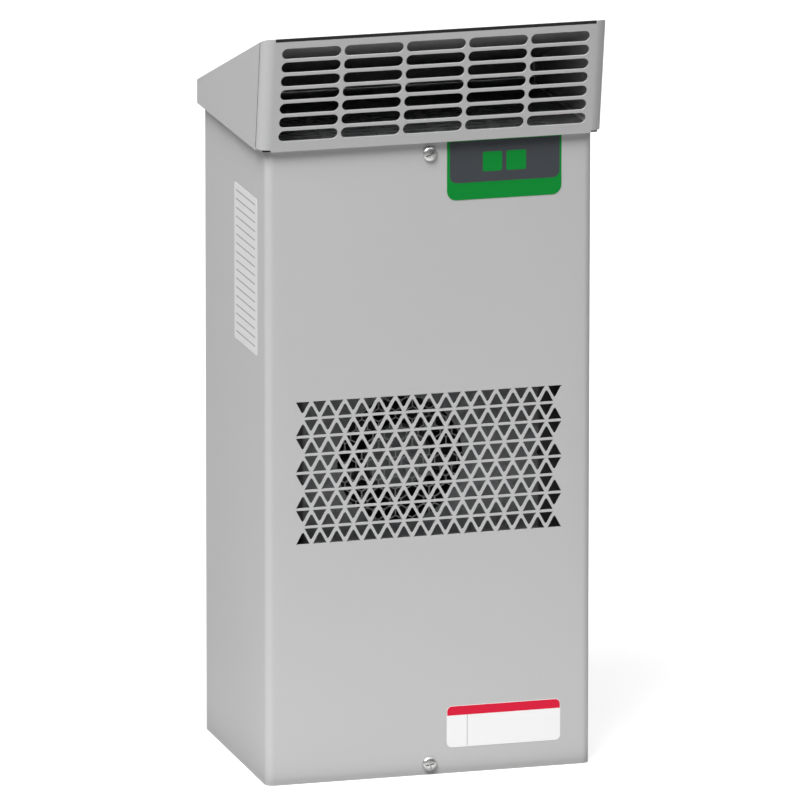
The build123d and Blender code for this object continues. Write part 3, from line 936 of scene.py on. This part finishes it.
plateCornerSteps = 8
plates = {
    "badgePlate": {
        "facing": "front", "low": (15.0, 489.2), "high": (113.3, 540.3), "radius": 8.0,
        "depth": 0.25, "lift": 0.0, "rounded": "low", "material": greenPrint,
    },
    "badgePanel": {
        "facing": "front", "low": (17.4, 503.6), "high": (111.7, 538.6), "radius": 6.0,
        "depth": 0.05, "lift": 0.25, "rounded": "low", "material": darkPrint,
    },
    "badgeMarkLeft": {
        "facing": "front", "low": (45.7, 512.3), "high": (62.2, 528.8), "radius": 1.4,
        "depth": 0.05, "lift": 0.3, "rounded": "all", "material": greenPrint,
    },
    "badgeMarkRight": {
        "facing": "front", "low": (66.0, 512.3), "high": (82.8, 528.8), "radius": 1.4,
        "depth": 0.05, "lift": 0.3, "rounded": "all", "material": greenPrint,
    },
    "notePlate": {
        "facing": "front", "low": (15.6, 22.0), "high": (113.9, 57.6), "radius": 4.5,
        "depth": 0.2, "lift": 0.0, "rounded": "all", "material": whitePrint,
    },
    "noteBand": {
        "facing": "front", "low": (15.9, 49.5), "high": (113.6, 57.3), "radius": 4.2,
        "depth": 0.03, "lift": 0.2, "rounded": "high", "material": redPrint,
    },
    "noteDivider": {
        "facing": "front", "low": (33.0, 23.0), "high": (33.5, 49.5), "radius": 0.0,
        "depth": 0.03, "lift": 0.2, "rounded": "none", "material": greyPrint,
    },
    "sidePlate": {
        "facing": "left", "low": (26.5, 361.0), "high": (98.0, 494.0), "radius": 3.0,
        "depth": 0.2, "lift": 0.0, "rounded": "all", "material": ruledPrint,
    },
}


def makePlate(name, spec):
    width = (spec["high"][0] - spec["low"][0]) * mm
    height = (spec["high"][1] - spec["low"][1]) * mm
    across = (spec["high"][0] + spec["low"][0]) / 2 * mm
    up = (spec["high"][1] + spec["low"][1]) / 2 * mm
    lift = spec["lift"] * mm
    bpy.ops.object.select_all(action="DESELECT")
    bpy.ops.mesh.primitive_plane_add(size=1)
    plate = bpy.context.object
    plate.scale = (width, height, 1)
    bpy.ops.object.transform_apply(location=False, rotation=False, scale=True)
    tests = {"low": (1, 0), "high": (0, 1), "all": (1, 1), "none": (0, 0)}
    lowEnd, highEnd = tests[spec["rounded"]]
    pickVertices(plate, lambda co: lowEnd if co.y < 0 else highEnd)
    if spec["radius"]:
        bpy.ops.mesh.bevel(offset=spec["radius"] * mm, segments=plateCornerSteps, affect="VERTICES")
    bpy.ops.object.mode_set(mode="OBJECT")
    raiseFace(plate, spec["depth"])
    if spec["facing"] == "front":
        place = (across, frontY - lift, up)
    else:
        place = (leftX - lift, frontY + across, up)
    plate.matrix_world = layOn(spec["facing"], place)
    return settle(plate, name, spec["material"])


for name, spec in plates.items():
    makePlate(name, spec)
print("plates are laid")


# Mesh over the fan's opening: pointed cells in a hexagonal pattern, cut to the guard's frame

meshSpec = {
    "pitch": 9.68,
    "wire": 1.0,
    "depth": 0.8,
    "phase": (2.8, 2.5),
    "columns": 14,
    "rowPairs": 8,
    "edge": 54.9,
    "weld": 0.05,
}


def makeFanMesh():
    pitch = meshSpec["pitch"] * mm
    cellRadius = pitch / math.sqrt(3)
    rowStep = cellRadius * 1.5
    edge = meshSpec["edge"] * mm
    phaseX, phaseZ = (value * mm for value in meshSpec["phase"])
    startX = phaseX + math.floor((fanX - edge - phaseX) / pitch) * pitch
    startZ = phaseZ + math.floor((fanZ - edge - phaseZ) / (2 * rowStep)) * 2 * rowStep
    bpy.ops.object.select_all(action="DESELECT")
    bpy.ops.mesh.primitive_circle_add(vertices=6, radius=cellRadius, fill_type="NGON")
    net = bpy.context.object
    for count, step in (
        (meshSpec["columns"], (pitch, 0, 0)),
        (2, (pitch / 2, rowStep, 0)),
        (meshSpec["rowPairs"], (0, 2 * rowStep, 0)),
    ):
        spread(net, count, [value / mm for value in step])
    net.location = (startX - fanX, startZ - fanZ, 0)
    bpy.ops.object.transform_apply(location=True, rotation=False, scale=False)
    bpy.ops.object.mode_set(mode="EDIT")
    bpy.ops.mesh.select_all(action="SELECT")
    bpy.ops.mesh.remove_doubles(threshold=meshSpec["weld"] * mm)
    bpy.ops.mesh.select_mode(type="FACE")
    bpy.ops.mesh.select_all(action="SELECT")
    bpy.ops.mesh.inset(thickness=meshSpec["wire"] / 2 * mm, use_individual=True)
    bpy.ops.mesh.delete(type="FACE")
    for normal in ((1, 0, 0), (-1, 0, 0), (0, 1, 0), (0, -1, 0)):
        bpy.ops.mesh.select_all(action="SELECT")
        point = Vector(normal) * edge
        bpy.ops.mesh.bisect(plane_co=point, plane_no=normal, clear_outer=True)
    bpy.ops.object.mode_set(mode="OBJECT")
    thicken = net.modifiers.new("depth", "SOLIDIFY")
    thicken.thickness = meshSpec["depth"] * mm
    thicken.offset = 0
    bpy.ops.object.modifier_apply(modifier=thicken.name)
    net.matrix_world = layOn("front", (fanX, (guardLow.y + guardHigh.y) / 2, fanZ))
    return settle(net, "fanMesh", meshMetal)


makeFanMesh()
print("fan mesh is in")


# Screws: pan heads with a cross recess and a shank in the sheet

screwSpec = {
    "headRadius": 6.25,
    "headHeight": 3.6,
    "skirt": 0.9,
    "domeSteps": 7,
    "domeAngle": 84,
    "domePower": 0.8,
    "headSides": 48,
    "smoothAngle": 40,
    "shankRadius": 3.0,
    "shankLength": 10.0,
    "shankSides": 32,
    "crossLength": 10.5,
    "crossWidth": 1.5,
    "crossDepth": 2.3,
    "taper": 0.55,
    "places": {"lowerScrew": (0.4, 9.4, 10), "upperScrew": (0.0, 530.1, 30)},
}


def makeCross(turn):
    arms = []
    for quarter in (0, 90):
        bpy.ops.object.select_all(action="DESELECT")
        bpy.ops.mesh.primitive_cube_add(size=1)
        arm = bpy.context.object
        arm.scale = (screwSpec["crossLength"] * mm, screwSpec["crossWidth"] * mm, 2 * screwSpec["crossDepth"] * mm)
        arm.location = (0, 0, screwSpec["headHeight"] * mm)
        arm.rotation_euler = (0, 0, math.radians(turn + quarter))
        bpy.ops.object.transform_apply(location=True, rotation=True, scale=True)
        pickVertices(arm, lambda co: co.z < screwSpec["headHeight"] * mm)
        bpy.ops.transform.resize(value=(screwSpec["taper"], screwSpec["taper"], 1))
        bpy.ops.object.mode_set(mode="OBJECT")
        arms.append(arm)
    return arms


def makeScrew(name, across, up, turn):
    radius = screwSpec["headRadius"] * mm
    skirt = screwSpec["skirt"] * mm
    dome = screwSpec["headHeight"] * mm - skirt
    bpy.ops.object.select_all(action="DESELECT")
    bpy.ops.mesh.primitive_circle_add(vertices=screwSpec["headSides"], radius=radius, fill_type="NGON")
    head = bpy.context.object
    bpy.ops.object.mode_set(mode="EDIT")
    bpy.ops.mesh.select_all(action="SELECT")
    bpy.ops.mesh.extrude_region_move(TRANSFORM_OT_translate={"value": (0, 0, skirt)})
    steps = screwSpec["domeSteps"]
    last = math.radians(screwSpec["domeAngle"])
    width = 1.0
    for step in range(1, steps + 1):
        angle = last * step / steps
        rise = dome * (math.sin(angle) - math.sin(last * (step - 1) / steps))
        bpy.ops.mesh.extrude_region_move(TRANSFORM_OT_translate={"value": (0, 0, rise)})
        share = math.cos(angle) ** screwSpec["domePower"] / width
        bpy.ops.transform.resize(value=(share, share, 1))
        width *= share
    bpy.ops.mesh.select_all(action="SELECT")
    bpy.ops.mesh.normals_make_consistent(inside=False)
    bpy.ops.object.mode_set(mode="OBJECT")
    for arm in makeCross(turn):
        cutAway(head, arm)
    bpy.ops.object.select_all(action="DESELECT")
    bpy.ops.mesh.primitive_cylinder_add(
        vertices=screwSpec["shankSides"],
        radius=screwSpec["shankRadius"] * mm,
        depth=screwSpec["shankLength"] * mm,
        location=(0, 0, -screwSpec["shankLength"] / 2 * mm),
    )
    head = joinAll([head, bpy.context.object])
    smoothBends(head, screwSpec["smoothAngle"])
    head.matrix_world = layOn("front", (across * mm, frontY, up * mm))
    return settle(head, name, zinc)


for name, (across, up, turn) in screwSpec["places"].items():
    screw = makeScrew(name, across, up, turn)
    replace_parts(screw, "cover_screws")
print("screws are in")


# Pins of the supply socket on the cabinet side

pinSpec = {
    "width": 2.4,
    "height": 6.0,
    "length": 9.0,
    "spacing": 10.0,
    "count": 3,
    "tip": 0.7,
    "tipSteps": 3,
    "socketFloor": 1.5,
}


def makePin(index):
    middle = (socketLow + socketHigh) / 2
    bpy.ops.object.select_all(action="DESELECT")
    bpy.ops.mesh.primitive_cube_add(size=1)
    pin = bpy.context.object
    pin.scale = (pinSpec["width"] * mm, pinSpec["height"] * mm, pinSpec["length"] * mm)
    bpy.ops.object.transform_apply(location=False, rotation=False, scale=True)
    bpy.ops.object.mode_set(mode="EDIT")
    bpy.ops.mesh.select_all(action="SELECT")
    bpy.ops.mesh.bevel(offset=pinSpec["tip"] * mm, segments=pinSpec["tipSteps"])
    bpy.ops.object.mode_set(mode="OBJECT")
    across = (index - (pinSpec["count"] - 1) / 2) * pinSpec["spacing"] * mm
    floorY = socketLow.y + pinSpec["socketFloor"] * mm
    pin.matrix_world = layOn("back", (middle.x + across, floorY + pinSpec["length"] / 2 * mm, middle.z))
    return settle(pin, f"socketPin{index + 1}", zinc)


for index in range(pinSpec["count"]):
    makePin(index)
print("socket pins are in")
